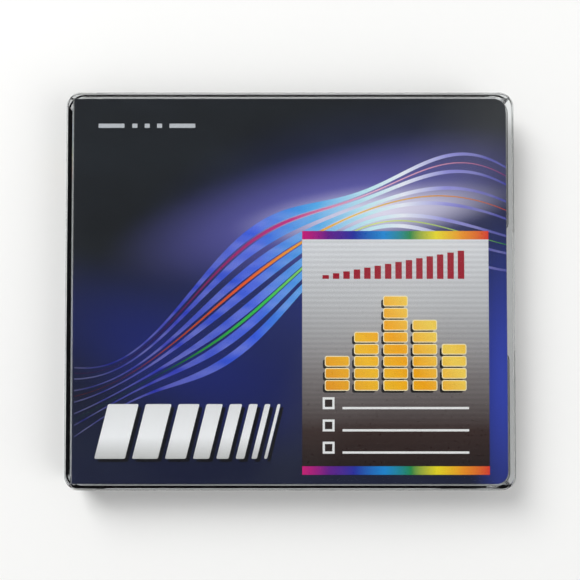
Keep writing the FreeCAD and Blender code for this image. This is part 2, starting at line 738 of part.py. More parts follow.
pieces = [slip_case(), inlay_card(), upper_shell(), lower_shell(), disc(), hub_plate(), shutter(),
          shutter_slider(), write_protect_tab()]
doc.recompute()
check(pieces)
export(pieces)
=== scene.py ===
"""Looks of a minidisc cartridge in its clear slip case: finishes, the print on its card and a plain stage.

Sizes are in metres in the model's own frame. The case lies on its back, +X points to its open mouth,
+Y to the top of the print and +Z out of the printed face.
"""
import math

import bmesh
import bpy
from mathutils import Matrix, Vector


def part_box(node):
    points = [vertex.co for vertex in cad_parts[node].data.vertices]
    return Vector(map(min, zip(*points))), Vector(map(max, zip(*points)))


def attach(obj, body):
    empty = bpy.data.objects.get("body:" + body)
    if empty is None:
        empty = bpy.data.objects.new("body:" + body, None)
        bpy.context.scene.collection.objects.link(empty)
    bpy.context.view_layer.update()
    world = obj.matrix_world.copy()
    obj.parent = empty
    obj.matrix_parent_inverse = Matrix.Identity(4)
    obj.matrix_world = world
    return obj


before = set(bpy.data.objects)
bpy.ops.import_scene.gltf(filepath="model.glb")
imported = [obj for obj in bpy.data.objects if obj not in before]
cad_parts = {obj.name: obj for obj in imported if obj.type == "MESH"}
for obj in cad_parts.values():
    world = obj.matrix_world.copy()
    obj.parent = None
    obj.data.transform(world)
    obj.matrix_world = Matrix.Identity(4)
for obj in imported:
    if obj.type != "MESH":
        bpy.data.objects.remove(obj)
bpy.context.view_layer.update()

bl_info = {
    "name": "Minidisc in its slip case",
    "version": (1, 0, 0),
    "blender": (4, 5, 0),
    "location": "3D view > Sidebar > Slip case",
    "description": "Finishes for a cased minidisc, its printed card and a plain stage",
    "category": "Object",
}

MM = 0.001
CASE_LOW, CASE_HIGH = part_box("slip_case")
CARD_LOW, CARD_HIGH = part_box("inlay_card")
SHELL_LOW, SHELL_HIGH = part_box("upper_shell")
DISC_LOW, DISC_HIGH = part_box("disc")
DISC_CENTRE = (DISC_LOW + DISC_HIGH) / 2

SPECTRUM = [(0.0, "#D6127A"), (0.14, "#6A1B8F"), (0.28, "#2331A6"), (0.44, "#1690DB"), (0.58, "#1E8F4A"),
            (0.72, "#F4E21C"), (0.86, "#F79A1E"), (1.0, "#E23A2C")]


def linear(code):
    """Linear red, green and blue of an sRGB hex colour."""
    channels = (int(code[start:start + 2], 16) / 255 for start in (1, 3, 5))
    return tuple(c / 12.92 if c <= 0.04045 else ((c + 0.055) / 1.055) ** 2.4 for c in channels)


def length(name, description, millimetres):
    """A size that a user may change."""
    return bpy.props.FloatProperty(name=name, description=description, default=millimetres * MM,
                                   unit="LENGTH", precision=5)


def colour(name, description, code):
    """A colour that a user may change."""
    return bpy.props.FloatVectorProperty(name=name, description=description, default=linear(code),
                                         subtype="COLOR", size=3, min=0, max=1)


def share(name, description, default):
    """A number from 0 to 1 that a user may change."""
    return bpy.props.FloatProperty(name=name, description=description, default=default,
                                   subtype="FACTOR", min=0, max=1)


def count(name, description, default):
    """How many of a shape there are."""
    return bpy.props.IntProperty(name=name, description=description, default=default, min=1)


def angle(name, description, degrees):
    """An angle that a user may change."""
    return bpy.props.FloatProperty(name=name, description=description, default=math.radians(degrees),
                                   subtype="ANGLE")


class CaseSettings(bpy.types.PropertyGroup):
    tint: colour("Tint", "Colour of the clear plastic", "#FBFDFE")
    roughness: share("Roughness", "How much handling has dulled the polish", 0.02)
    ripple: length("Ripple", "Width of the faint flow ripples in the moulding", 9)


class PrintSettings(bpy.types.PropertyGroup):
    ground: colour("Ground", "Darkest colour of the printed ground", "#14181B")
    night: colour("Night", "Blue of the ground's lower part", "#0D1433")
    haze: colour("Haze", "Wide blue haze behind the panel", "#2A3478")
    glow: colour("Glow", "Violet light above the panel", "#6C68B8")
    core: colour("Core", "Palest part of the light", "#ECE7F8")
    card: colour("Card", "Unprinted side of the card", "#F3F2EC")
    flap_width: length("Flap width", "Width of the flap on the case's back", 15)
    panel_width: length("Panel width", "Width of the grey panel", 33)
    panel_height: length("Panel height", "Height of the grey panel", 43)
    panel_right: length("Panel right margin", "From the card's right edge to the panel", 3.2)
    panel_base: length("Panel lower margin", "From the card's lower edge to the panel", 1.6)
    edge_bar: length("Edge bar", "Height of the spectrum bars at the panel's ends", 1.5)
    margin: length("Panel margin", "From the panel's sides to what is printed on it", 3.6)
    ramp_height: length("Ramp height", "Height of the tallest red bar", 5)
    ramp_bars: count("Ramp bars", "Number of red bars", 14)
    meter_height: length("Meter height", "Height of the tallest gold column", 17)
    meter_gap: length("Block gap", "Gap between gold blocks", 0.55)
    line_pitch: length("Line pitch", "From one white line to the next", 3.9)
    line_height: length("Line height", "Thickness of a white line", 0.4)
    box_size: length("Box size", "Side of the square before each line", 2.1)
    bar_height: length("Bar height", "Height of the slanted white bars", 9.6)
    bar_width: length("Bar width", "Width of the widest slanted bar", 5.4)
    bar_slant: angle("Bar slant", "How far the white bars lean to the right", 14)
    ribbons: count("Ribbons", "Number of flowing ribbons", 7)


class CartridgeSettings(bpy.types.PropertyGroup):
    shell: colour("Shell", "Colour of the moulded shell", "#202225")
    grain: length("Grain", "Size of the moulded grain", 0.22)
    field_depth: length("Field depth", "How deep the label field is sunk", 0.12)
    arrow_depth: length("Arrow depth", "How deep the arrow is sunk", 0.15)
    arrow_width: length("Arrow width", "Width of the arrow's base", 3.6)
    arrow_length: length("Arrow length", "From the arrow's base to its tip", 3.0)
    arrow_inset: length("Arrow inset", "From the shell's sides to the middle of the arrow", 4.6)
    steel: colour("Steel", "Colour of the shutter and the hub plate", "#C9CBCE")
    slider: colour("Slider", "Colour of the shutter's slider", "#DEDCD2")
    tab: colour("Tab", "Colour of the write-protect tab", "#8C1D14")
    disc: colour("Disc", "Colour of the recording layer", "#8E86A8")


class StageSettings(bpy.types.PropertyGroup):
    floor: colour("Floor", "Colour of the floor", "#F1F1EF")
    board: length("Board", "How far from the case the floor starts to fade into the background", 300)
    distance: length("Camera distance", "From the case's face to the camera", 236)
    lean: angle("Camera lean", "How far the camera stands to the lower side of the print", 2.6)
    lens: bpy.props.FloatProperty(name="Lens", description="Focal length in millimetres", default=83)
    key: bpy.props.FloatProperty(name="Key", description="Power of the main light", default=6.6, unit="POWER")
    fill: bpy.props.FloatProperty(name="Fill", description="Power of the second light", default=2.5,
                                  unit="POWER")
    sky: share("Sky", "Strength of the light from all round", 0.93)
    gleam: share("Gleam", "Strength of the soft streak of sky that the clear face mirrors", 0.35)


def new_tree(name):
    """An empty node tree of a new material, and the material."""
    material = bpy.data.materials.new(name)
    material.use_nodes = True
    material.node_tree.nodes.clear()
    return material, material.node_tree


def add_node(tree, kind, inputs=None, **settings):
    """Add a node, set its options and give each named input a value or another node's output."""
    node = tree.nodes.new(f"ShaderNode{kind}")
    for name, value in settings.items():
        setattr(node, name, value)
    for name, value in (inputs or {}).items():
        if isinstance(value, bpy.types.NodeSocket):
            tree.links.new(value, node.inputs[name])
        else:
            node.inputs[name].default_value = value
    return node


def opaque(values):
    """A colour with full alpha."""
    return (*values[:3], 1.0)


def ramp(tree, factor, stops, interpolation="LINEAR"):
    """The colour of a ramp whose stops are places and colours, at a factor."""
    node = add_node(tree, "ValToRGB", {"Fac": factor})
    node.color_ramp.interpolation = interpolation
    elements = node.color_ramp.elements
    while len(elements) < len(stops):
        elements.new(0.5)
    for element, (place, tone) in zip(elements, stops):
        element.position = place
        element.color = opaque(linear(tone) if isinstance(tone, str) else tone)
    return node.outputs["Color"]


def patch(tree, coordinates, centre, radii, turn=0.0):
    """A soft ellipse, 1 in the middle and 0 at its rim."""
    placed = add_node(tree, "Mapping", {"Vector": coordinates, "Location": centre, "Rotation": (0, 0, turn),
                                        "Scale": radii}, vector_type="TEXTURE")
    return add_node(tree, "TexGradient", {"Vector": placed.outputs["Vector"]},
                    gradient_type="SPHERICAL").outputs["Fac"]


def along(tree, coordinates, start, end):
    """0 at one point and 1 at another."""
    step = Vector(end) - Vector(start)
    turn = step.to_track_quat("X", "Z").to_euler()
    placed = add_node(tree, "Mapping", {"Vector": coordinates, "Location": start, "Rotation": turn,
                                        "Scale": (step.length,) * 3}, vector_type="TEXTURE")
    return add_node(tree, "TexGradient", {"Vector": placed.outputs["Vector"]},
                    gradient_type="LINEAR").outputs["Fac"]


def scaled_noise(tree, coordinates, grain, detail=3.0):
    """Noise whose lumps have the given sizes along X, Y and Z."""
    placed = add_node(tree, "Mapping", {"Vector": coordinates, "Scale": grain}, vector_type="TEXTURE")
    return add_node(tree, "TexNoise", {"Vector": placed.outputs["Vector"], "Scale": 1.0,
                                       "Detail": detail}).outputs["Fac"]


def spread(tree, value, low, high, begin=0.3, finish=0.7):
    """Noise stretched to run from one number to another."""
    return add_node(tree, "MapRange", {"Value": value, "From Min": begin, "From Max": finish, "To Min": low,
                                       "To Max": high}).outputs["Result"]


def blend_colour(tree, factor, first, second, blend_type="MIX"):
    """Two colours mixed."""
    node = add_node(tree, "Mix", {"Factor": factor}, data_type="RGBA", blend_type=blend_type)
    for socket, value in ((node.inputs[6], first), (node.inputs[7], second)):
        if isinstance(value, bpy.types.NodeSocket):
            tree.links.new(value, socket)
        else:
            socket.default_value = opaque(value)
    return node.outputs[2]


def bump(tree, height, distance, strength=1.0):
    """Surface relief of a real depth."""
    return add_node(tree, "Bump", {"Height": height, "Distance": distance,
                                   "Strength": strength}).outputs["Normal"]


def show(tree, shader):
    """Send a shader to the surface."""
    add_node(tree, "OutputMaterial", {"Surface": shader})


def object_coordinates(tree):
    """The object's own coordinates, which are the model's."""
    return add_node(tree, "TexCoord").outputs["Object"]


def clear_polystyrene(settings):
    """Injection-moulded polystyrene: water clear, hard gloss, with faint flow ripples and fine rubs."""
    material, tree = new_tree("clear_moulded_polystyrene")
    here = object_coordinates(tree)
    ripples = scaled_noise(tree, here, (settings.ripple,) * 3, detail=1.0)
    rubs = scaled_noise(tree, here, (6 * MM, 0.5 * MM, 3 * MM), detail=6.0)
    dull = spread(tree, rubs, settings.roughness * 0.5, settings.roughness * 3, begin=0.45, finish=0.75)
    body = add_node(tree, "BsdfPrincipled", {
        "Base Color": opaque(settings.tint), "Roughness": dull, "IOR": 1.59, "Transmission Weight": 1.0,
        "Normal": bump(tree, ripples, 0.006 * MM)})
    passing = add_node(tree, "BsdfTransparent", {"Color": opaque(linear("#FEFEFE"))})
    path = add_node(tree, "LightPath")
    both = add_node(tree, "MixShader", {0: path.outputs["Is Shadow Ray"], 1: body.outputs["BSDF"],
                                        2: passing.outputs["BSDF"]})
    show(tree, both.outputs["Shader"])
    return material


def printed_ground(settings):
    """Offset print on gloss-coated card: a dark ground with soft light in it; the inner side is bare."""
    material, tree = new_tree("offset_print_on_coated_card")
    here = object_coordinates(tree)
    top, base = CARD_HIGH.y, CARD_LOW.y
    tone = ramp(tree, along(tree, here, (0, top, 0), (-0.3 * top, base, 0)), [
        (0.0, settings.ground), (0.45, settings.ground), (1.0, settings.night)], "EASE")
    clouds = scaled_noise(tree, here, (16 * MM, 9 * MM, 9 * MM), detail=2.0)
    tone = blend_colour(tree, spread(tree, clouds, 0.0, 0.14), tone, linear("#39424C"))
    # colour, strength, middle and half sizes in millimetres, and turn in degrees
    lights = [
        (settings.haze, 0.95, (8, 4), (46, 30), 18),
        (linear("#1A2676"), 0.8, (-20, -12), (38, 15), -24),
        (linear("#3446B4"), 0.9, (37.5, -16), (7, 34), 0),
        (settings.glow, 0.95, (8, 14.5), (44, 12), 13),
        (settings.core, 1.0, (15, 13.8), (27, 5.6), 7),
    ]
    for light, strength, centre, radii, turn in lights:
        soft = patch(tree, here, (centre[0] * MM, centre[1] * MM, CARD_HIGH.z),
                     (radii[0] * MM, radii[1] * MM, 1), math.radians(turn))
        eased = add_node(tree, "MapRange", {"Value": soft, "To Max": strength},
                         interpolation_type="SMOOTHSTEP")
        tone = blend_colour(tree, eased.outputs["Result"], tone, light)
    where = add_node(tree, "SeparateXYZ", {"Vector": here})
    skin = 0.125 * MM
    # the printed side is the outside of the front, the back flap and the spine
    outside = [("Z", "GREATER_THAN", CARD_HIGH.z - skin), ("Z", "LESS_THAN", CARD_LOW.z + skin),
               ("X", "LESS_THAN", CARD_LOW.x + skin)]
    printed = None
    for axis, test, limit in outside:
        found = add_node(tree, "Math", {0: where.outputs[axis], 1: limit}, operation=test).outputs[0]
        printed = found if printed is None else add_node(
            tree, "Math", {0: printed, 1: found}, operation="MAXIMUM").outputs[0]
    tone = blend_colour(tree, printed, settings.card, tone)
    fibres = scaled_noise(tree, here, (0.6 * MM,) * 3)
    body = add_node(tree, "BsdfPrincipled", {
        "Base Color": tone, "Roughness": spread(tree, fibres, 0.3, 0.42), "Specular IOR Level": 0.4,
        "Normal": bump(tree, fibres, 0.002 * MM)})
    show(tree, body.outputs["BSDF"])
    return material


def printed_ink(name, stops, start, end, sheen=0.0, screen=0.0):
    """A solid offset ink whose colour runs between two points, with painted sheen if wanted; smoother than
    the card round it.
    """
    material, tree = new_tree(name)
    here = object_coordinates(tree)
    tone = ramp(tree, along(tree, here, start, end), stops)
    fibres = scaled_noise(tree, here, (0.6 * MM,) * 3)
    if sheen:
        # painted sheen: soft patches of the ink mixed towards white
        sheen_patches = scaled_noise(tree, here, (7 * MM, 2.2 * MM, 3 * MM), detail=1.0)
        tone = blend_colour(tree, spread(tree, sheen_patches, 0.0, sheen), tone, (1.0, 1.0, 1.0))
    if screen:
        # one band of the wave texture is 2 pi / 20 of its scale wide
        ruled = add_node(tree, "TexWave", {"Vector": here, "Scale": math.pi / 10 / screen},
                         bands_direction="Y")
        tone = blend_colour(tree, spread(tree, ruled.outputs["Fac"], 0.0, 0.14, 0.0, 1.0), tone,
                            (0.0, 0.0, 0.0))
    body = add_node(tree, "BsdfPrincipled", {
        "Base Color": tone, "Roughness": spread(tree, fibres, 0.26, 0.36), "Specular IOR Level": 0.4})
    show(tree, body.outputs["BSDF"])
    return material


def plain_ink(name, code):
    """An ink of one colour."""
    return printed_ink(name, [(0.0, code), (1.0, code)], (0, 0, 0), (1, 0, 0))


def textured_polycarbonate(settings):
    """Spark-textured moulded polycarbonate: fine matt grain with broad patches of painted sheen, but polished
    where the label field is sunk.
    """
    material, tree = new_tree("spark_textured_polycarbonate")
    here = object_coordinates(tree)
    grain = scaled_noise(tree, here, (settings.grain,) * 3, detail=4.0)
    sheen_patches = scaled_noise(tree, here, (14 * MM,) * 3, detail=2.0)
    # painted sheen: broad lighter patches across the shell
    tone = blend_colour(tree, spread(tree, sheen_patches, 0.0, 0.25), settings.shell, linear("#2B2D31"))
    height = add_node(tree, "SeparateXYZ", {"Vector": here}).outputs["Z"]
    field_height = SHELL_HIGH.z - settings.field_depth
    polished = add_node(tree, "Math", {0: height, 1: field_height, 2: 0.01 * MM},
                        operation="COMPARE").outputs["Value"]
    matt = add_node(tree, "Math", {0: 1.0, 1: polished}, operation="SUBTRACT").outputs["Value"]
    rough = add_node(tree, "Mix", {"Factor": polished, "A": spread(tree, grain, 0.42, 0.6), "B": 0.22})
    tone = blend_colour(tree, polished, tone, tuple(c * 0.7 for c in settings.shell))
    body = add_node(tree, "BsdfPrincipled", {
        "Base Color": tone, "Roughness": rough.outputs["Result"], "IOR": 1.58,
        "Normal": bump(tree, grain, 0.03 * MM, matt)})
    show(tree, body.outputs["BSDF"])
    return material


def recording_layer(settings):
    """Clear polycarbonate over a metal film: mirror-like and violet-grey, with painted diffraction colours in
    radial bands.
    """
    material, tree = new_tree("polycarbonate_over_metal_film")
    here = object_coordinates(tree)
    centred = add_node(tree, "Mapping", {"Vector": here, "Location": DISC_CENTRE}, vector_type="TEXTURE")
    turn = add_node(tree, "TexGradient", {"Vector": centred.outputs["Vector"]}, gradient_type="RADIAL")
    # painted reflection: fixed rainbow bands round the centre stand in for the film's diffraction colours
    bands = ramp(tree, turn.outputs["Fac"], [
        (0.0, settings.disc), (0.1, "#5E7FC0"), (0.2, settings.disc), (0.34, "#B79A6E"),
        (0.42, settings.disc), (0.55, "#6AA58E"), (0.66, settings.disc), (0.8, "#9A6BB0"),
        (1.0, settings.disc)], "EASE")
    tone = blend_colour(tree, 0.45, settings.disc, bands)
    body = add_node(tree, "BsdfPrincipled", {
        "Base Color": tone, "Metallic": 0.9, "Roughness": 0.16, "Coat Weight": 1.0, "Coat Roughness": 0.03,
        "Coat IOR": 1.58})
    show(tree, body.outputs["BSDF"])
    return material


def turned_steel(settings):
    """Pressed magnetic steel with the fine rings of a lathe tool."""
    material, tree = new_tree("turned_steel")
    here = object_coordinates(tree)
    ring = 0.3 * MM
    centred = add_node(tree, "Mapping", {"Vector": here, "Location": DISC_CENTRE,
                                         "Scale": (ring, ring, 1)}, vector_type="TEXTURE")
    # one ring of the wave texture is 2 pi / 20 of its scale wide
    rings = add_node(tree, "TexWave", {"Vector": centred.outputs["Vector"], "Scale": math.pi / 10,
                                       "Distortion": 0.4}, wave_type="RINGS", rings_direction="Z")
    body = add_node(tree, "BsdfPrincipled", {
        "Base Color": opaque(settings.steel), "Metallic": 1.0, "Roughness": 0.3,
        "Normal": bump(tree, rings.outputs["Fac"], 0.004 * MM)})
    show(tree, body.outputs["BSDF"])
    return material


def brushed_steel(settings):
    """Stainless strip, brushed along the way it slides: long fine lines across a soft gleam."""
    material, tree = new_tree("brushed_stainless_strip")
    here = object_coordinates(tree)
    lines = scaled_noise(tree, here, (0.12 * MM, 22 * MM, 0.12 * MM), detail=5.0)
    tone = blend_colour(tree, spread(tree, lines, 0.0, 1.0), linear("#AEB1B5"), settings.steel)
    body = add_node(tree, "BsdfPrincipled", {
        "Base Color": tone, "Metallic": 1.0, "Roughness": spread(tree, lines, 0.24, 0.4),
        "Anisotropic": 0.5, "Normal": bump(tree, lines, 0.006 * MM)})
    show(tree, body.outputs["BSDF"])
    return material


def moulded_plastic(name, tone, mottle, roughness):
    """Small moulded part: smooth and a little uneven in gloss."""
    material, tree = new_tree(name)
    here = object_coordinates(tree)
    lumps = scaled_noise(tree, here, (mottle,) * 3, detail=4.0)
    shade = blend_colour(tree, spread(tree, lumps, 0.0, 0.3), tone, tuple(c * 0.8 for c in tone))
    body = add_node(tree, "BsdfPrincipled", {
        "Base Color": shade, "Roughness": spread(tree, lumps, roughness, roughness + 0.12), "IOR": 1.48,
        "Normal": bump(tree, lumps, 0.01 * MM)})
    show(tree, body.outputs["BSDF"])
    return material


def dress(node, material):
    """Give a CAD node its finish."""
    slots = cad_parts[node].data.materials
    slots.clear()
    slots.append(material)


# Where a flat drawing is laid: on the card's face, on its spine or on its back flap
FACE = Matrix.Translation((0, 0, CARD_HIGH.z))
SPINE = Matrix(((0, 0, -1, CARD_LOW.x), (-1, 0, 0, 0),
                (0, 1, 0, (CARD_LOW.z + CARD_HIGH.z) / 2), (0, 0, 0, 1)))
FLAP = Matrix(((-1, 0, 0, CARD_LOW.x), (0, 1, 0, 0), (0, 0, -1, CARD_LOW.z), (0, 0, 0, 1)))

# Thickness of a layer of ink, and from one layer to the next, both drawn thicker than real ink
INK = 0.004 * MM
LAYER = 0.006 * MM


def flat_shape(bm, corners, rounding=0.0):
    """Draw a flat shape, with its corners rounded if wanted."""
    points = [bm.verts.new((x, y, 0)) for x, y in corners]
    bm.faces.new(points)
    if rounding:
        bmesh.ops.bevel(bm, geom=points, offset=rounding, offset_type="OFFSET", segments=4, profile=0.5,
                        affect="VERTICES", material=-1)


def flat_rectangle(bm, left, base, width, height, rounding=0.0, slant=0.0):
    """Draw a rectangle, leaning to the right by an angle if wanted."""
    lean = height * math.tan(slant)
    flat_shape(bm, [(left, base), (left + width, base), (left + width + lean, base + height),
                    (left + lean, base + height)], rounding)


def print_layer(name, bm, level, material, side=FACE, body="case"):
    """Give a drawing's flat shapes the thickness of ink and lay them on one side of what is printed."""
    raised = bmesh.ops.extrude_face_region(bm, geom=bm.faces[:])["geom"]
    lifted = [item for item in raised if isinstance(item, bmesh.types.BMVert)]
    bmesh.ops.translate(bm, verts=lifted, vec=(0, 0, INK))
    bmesh.ops.translate(bm, verts=bm.verts[:], vec=(0, 0, LAYER * (level - 0.5)))
    bmesh.ops.transform(bm, verts=bm.verts[:], matrix=side)
    return finished(name, bm, material, body)


def finished(name, bm, material, body):
    """Turn a bmesh into a piece that rides on a body."""
    bmesh.ops.recalc_face_normals(bm, faces=bm.faces[:])
    mesh = bpy.data.meshes.new(name)
    bm.to_mesh(mesh)
    bm.free()
    mesh.materials.append(material)
    piece = bpy.data.objects.new(name, mesh)
    bpy.context.scene.collection.objects.link(piece)
    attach(piece, body)
    return piece


def panel_box(settings):
    """Left, base, right and top of the grey panel."""
    right = CARD_HIGH.x - settings.panel_right
    base = CARD_LOW.y + settings.panel_base
    return right - settings.panel_width, base, right, base + settings.panel_height


class ClearCase(bpy.types.Operator):
    """Give the slip case its clear moulded finish"""
    bl_idname = "slip_case.clear_case"
    bl_label = "Clear case"

    def execute(self, context):
        dress("slip_case", clear_polystyrene(context.scene.case_look))
        return {"FINISHED"}


class CardGround(bpy.types.Operator):
    """Print the dark ground and its soft light on the card"""
    bl_idname = "slip_case.card_ground"
    bl_label = "Card ground"

    def execute(self, context):
        dress("inlay_card", printed_ground(context.scene.print_look))
        return {"FINISHED"}


class PrintRibbons(bpy.types.Operator):
    """Print the flowing ribbons and the thin streaks between them"""
    bl_idname = "slip_case.print_ribbons"
    bl_label = "Ribbons"

    def execute(self, context):
        settings = context.scene.print_look
        left, right = CARD_LOW.x + 0.6 * MM, CARD_HIGH.x
        ribbons = bmesh.new()
        pitch = 2 / (settings.ribbons - 1)
        for number in range(settings.ribbons):
            self.sweep(ribbons, left, right, number * pitch - 1, 0.6 / settings.ribbons)
        print_layer("print_ribbons", ribbons, 1, printed_ink(
            "ribbon_ink", [(0.0, "#12155E"), (0.22, "#2A35B8"), (0.42, "#3C63E6"), (0.56, "#55B4F2"),
                           (0.68, "#C9F4FB"), (0.76, "#F4F7FF"), (0.86, "#8F8CDC"), (1.0, "#35389A")],
            (left, 0, 0), (right, 0, 0), sheen=0.12))
        tones = {"green": [(0.2, "#0C3A2A"), (0.45, "#3FD05A"), (0.7, "#E8F58A"), (1.0, "#2E8F3C")],
                 "amber": [(0.1, "#5A1A10"), (0.4, "#F0602C"), (0.65, "#FFD84A"), (1.0, "#C23A2A")],
                 "rose": [(0.2, "#3A0C3C"), (0.5, "#D23A8C"), (0.7, "#FFC2D8"), (1.0, "#8A1A6A")]}
        for number, (tone, stops) in enumerate(tones.items()):
            streak = bmesh.new()
            self.sweep(streak, left, right, (2 * number + 1.5) * pitch - 1, 0.2 / settings.ribbons)
            print_layer(f"print_{tone}_streak", streak, 1, printed_ink(
                f"{tone}_streak_ink", stops, (left, 0, 0), (right, 0, 0)))
        return {"FINISHED"}

    @staticmethod
    def sweep(bm, left, right, place, thickness):
        """One ribbon of a fan that opens, narrows and opens again as it crosses the card."""
        made = bmesh.ops.create_grid(bm, x_segments=90, y_segments=1, size=0.5)["verts"]
        for vert in made:
            progress = vert.co.x + 0.5
            middle = (-7 + 13 * math.sin(math.tau * (0.62 * progress - 0.22)) + 12 * progress) * MM
            opening = (4.2 + 5.5 * math.sin(math.tau * (0.9 * progress - 0.1)) ** 2) * MM
            width = opening * thickness * (0.25 + math.sin(math.pi * progress) ** 2) * 2
            offset = vert.co.y * width
            vert.co = (left + progress * (right - left), middle + place * opening + offset, 0)


class PrintPanel(bpy.types.Operator):
    """Print the grey panel, the spectrum bars on its ends, the red ramp and the ruled lines"""
    bl_idname = "slip_case.print_panel"
    bl_label = "Grey panel"

    def execute(self, context):
        settings = context.scene.print_look
        left, base, right, top = panel_box(settings)
        sheet = bmesh.new()
        flat_rectangle(sheet, left, base, right - left, top - base)
        print_layer("print_panel", sheet, 2, printed_ink(
            "panel_ink", [(0.0, "#EDEEF0"), (0.3, "#CCCCCD"), (0.6, "#857F7E"), (0.82, "#3B2A25"),
                          (1.0, "#1C120F")], (0, top, 0), (0, base, 0), screen=0.9 * MM))
        ends = bmesh.new()
        for low in (base, top - settings.edge_bar):
            flat_rectangle(ends, left, low, right - left, settings.edge_bar)
        print_layer("print_spectrum_bars", ends, 3, printed_ink(
            "spectrum_ink", SPECTRUM, (left, 0, 0), (right, 0, 0)))
        self.ramp_bars(settings, left + settings.margin, right - settings.margin, top)
        self.ruled_lines(settings, left + settings.margin, right - settings.margin, base)
        return {"FINISHED"}

    @staticmethod
    def ramp_bars(settings, left, right, top):
        """A row of red bars that grow to the right."""
        bars = bmesh.new()
        pitch = (right - left) / settings.ramp_bars
        floor = top - settings.edge_bar - 2 * MM - settings.ramp_height
        for number in range(settings.ramp_bars):
            height = settings.ramp_height * (number + 2) / (settings.ramp_bars + 1)
            flat_rectangle(bars, left + number * pitch, floor, pitch * 0.62, height)
        print_layer("print_red_ramp", bars, 3, plain_ink("dark_red_ink", "#A3142A"))

    @staticmethod
    def ruled_lines(settings, left, right, base):
        """White lines to write on, each with a square before it."""
        lines, squares, inner = bmesh.new(), bmesh.new(), bmesh.new()
        lowest = base + settings.edge_bar + 2.2 * MM
        start = left + settings.box_size + 1.4 * MM
        wall = settings.line_height
        hollow = settings.box_size - 2 * wall
        for number in range(3):
            foot = lowest + number * settings.line_pitch
            flat_rectangle(lines, start, foot, right - start, wall)
            flat_rectangle(squares, left, foot, settings.box_size, settings.box_size)
            flat_rectangle(inner, left + wall, foot + wall, hollow, hollow)
        white = plain_ink("white_ink", "#F4F4F2")
        print_layer("print_ruled_lines", lines, 3, white)
        print_layer("print_tick_boxes", squares, 3, white)
        print_layer("print_tick_box_centres", inner, 4, plain_ink("panel_shade_ink", "#2A1D19"))


class PrintMeter(bpy.types.Operator):
    """Print the gold level meter on the panel"""
    bl_idname = "slip_case.print_meter"
    bl_label = "Gold meter"

    def execute(self, context):
        settings = context.scene.print_look
        left, base, right, top = panel_box(settings)
        left += settings.margin
        right -= settings.margin
        levels = (3, 5, 8, 6, 4)
        column = (right - left) / len(levels)
        floor = base + settings.edge_bar + 13.4 * MM
        row = settings.meter_height / max(levels)
        width, height = column - 2 * settings.meter_gap, row - settings.meter_gap
        edge = 0.16 * MM
        drop = 0.5 * MM
        shadow, rim, blocks = bmesh.new(), bmesh.new(), bmesh.new()
        for number, level in enumerate(levels):
            for step in range(level):
                x = left + number * column + settings.meter_gap
                y = floor + step * row
                flat_rectangle(shadow, x - drop, y - drop, width, height, 0.35 * MM)
                flat_rectangle(rim, x - edge, y - edge, width + 2 * edge, height + 2 * edge, 0.4 * MM)
                flat_rectangle(blocks, x, y, width, height, 0.3 * MM)
        print_layer("print_meter_shadow", shadow, 3, plain_ink("black_ink", "#0B0B0C"))
        print_layer("print_meter_rims", rim, 4, plain_ink("pale_gold_ink", "#FFF0BE"))
        print_layer("print_meter_blocks", blocks, 5, printed_ink(
            "gold_ink", [(0.0, "#F09A00"), (0.3, "#FFC620"), (0.5, "#FFB000"), (0.72, "#FFDB5C"),
                         (1.0, "#FFB600")],
            (left, floor, 0), (right, floor + settings.meter_height, 0)))
        return {"FINISHED"}


class PrintBars(bpy.types.Operator):
    """Print the slanted white bars with their shadow, and the small dashes and dots"""
    bl_idname = "slip_case.print_bars"
    bl_label = "White bars"

    def execute(self, context):
        settings = context.scene.print_look
        base = CARD_LOW.y + 4.4 * MM
        x = CARD_LOW.x + 4.2 * MM
        gap = 1.25 * MM
        drop = 0.55 * MM
        corner = 0.25 * MM
        shadow, bars = bmesh.new(), bmesh.new()
        for part in (1.0, 0.84, 0.68, 0.53, 0.4, 0.28, 0.18, 0.1):
            width = part * settings.bar_width
            flat_rectangle(shadow, x + drop, base - drop, width, settings.bar_height, corner,
                           settings.bar_slant)
            flat_rectangle(bars, x, base, width, settings.bar_height, corner, settings.bar_slant)
            x += width + gap
        print_layer("print_bar_shadow", shadow, 3, plain_ink("shadow_ink", "#05060A"))
        print_layer("print_bars", bars, 4, printed_ink(
            "pearl_ink", [(0.0, "#C9C9C6"), (0.4, "#FDFDFD"), (1.0, "#EFEFEE")],
            (0, base, 0), (0, base + settings.bar_height, 0)))
        marks = bmesh.new()
        height = CARD_HIGH.y - 5.2 * MM
        start = CARD_LOW.x + 4.6 * MM
        for across, width in ((0, 4.6), (6, 0.9), (8.2, 0.9), (10.4, 0.9), (12.6, 4.6)):
            flat_rectangle(marks, start + across * MM, height, width * MM, 0.75 * MM)
        print_layer("print_marks", marks, 3, plain_ink("silver_ink", "#C3C6CA"))
        return {"FINISHED"}


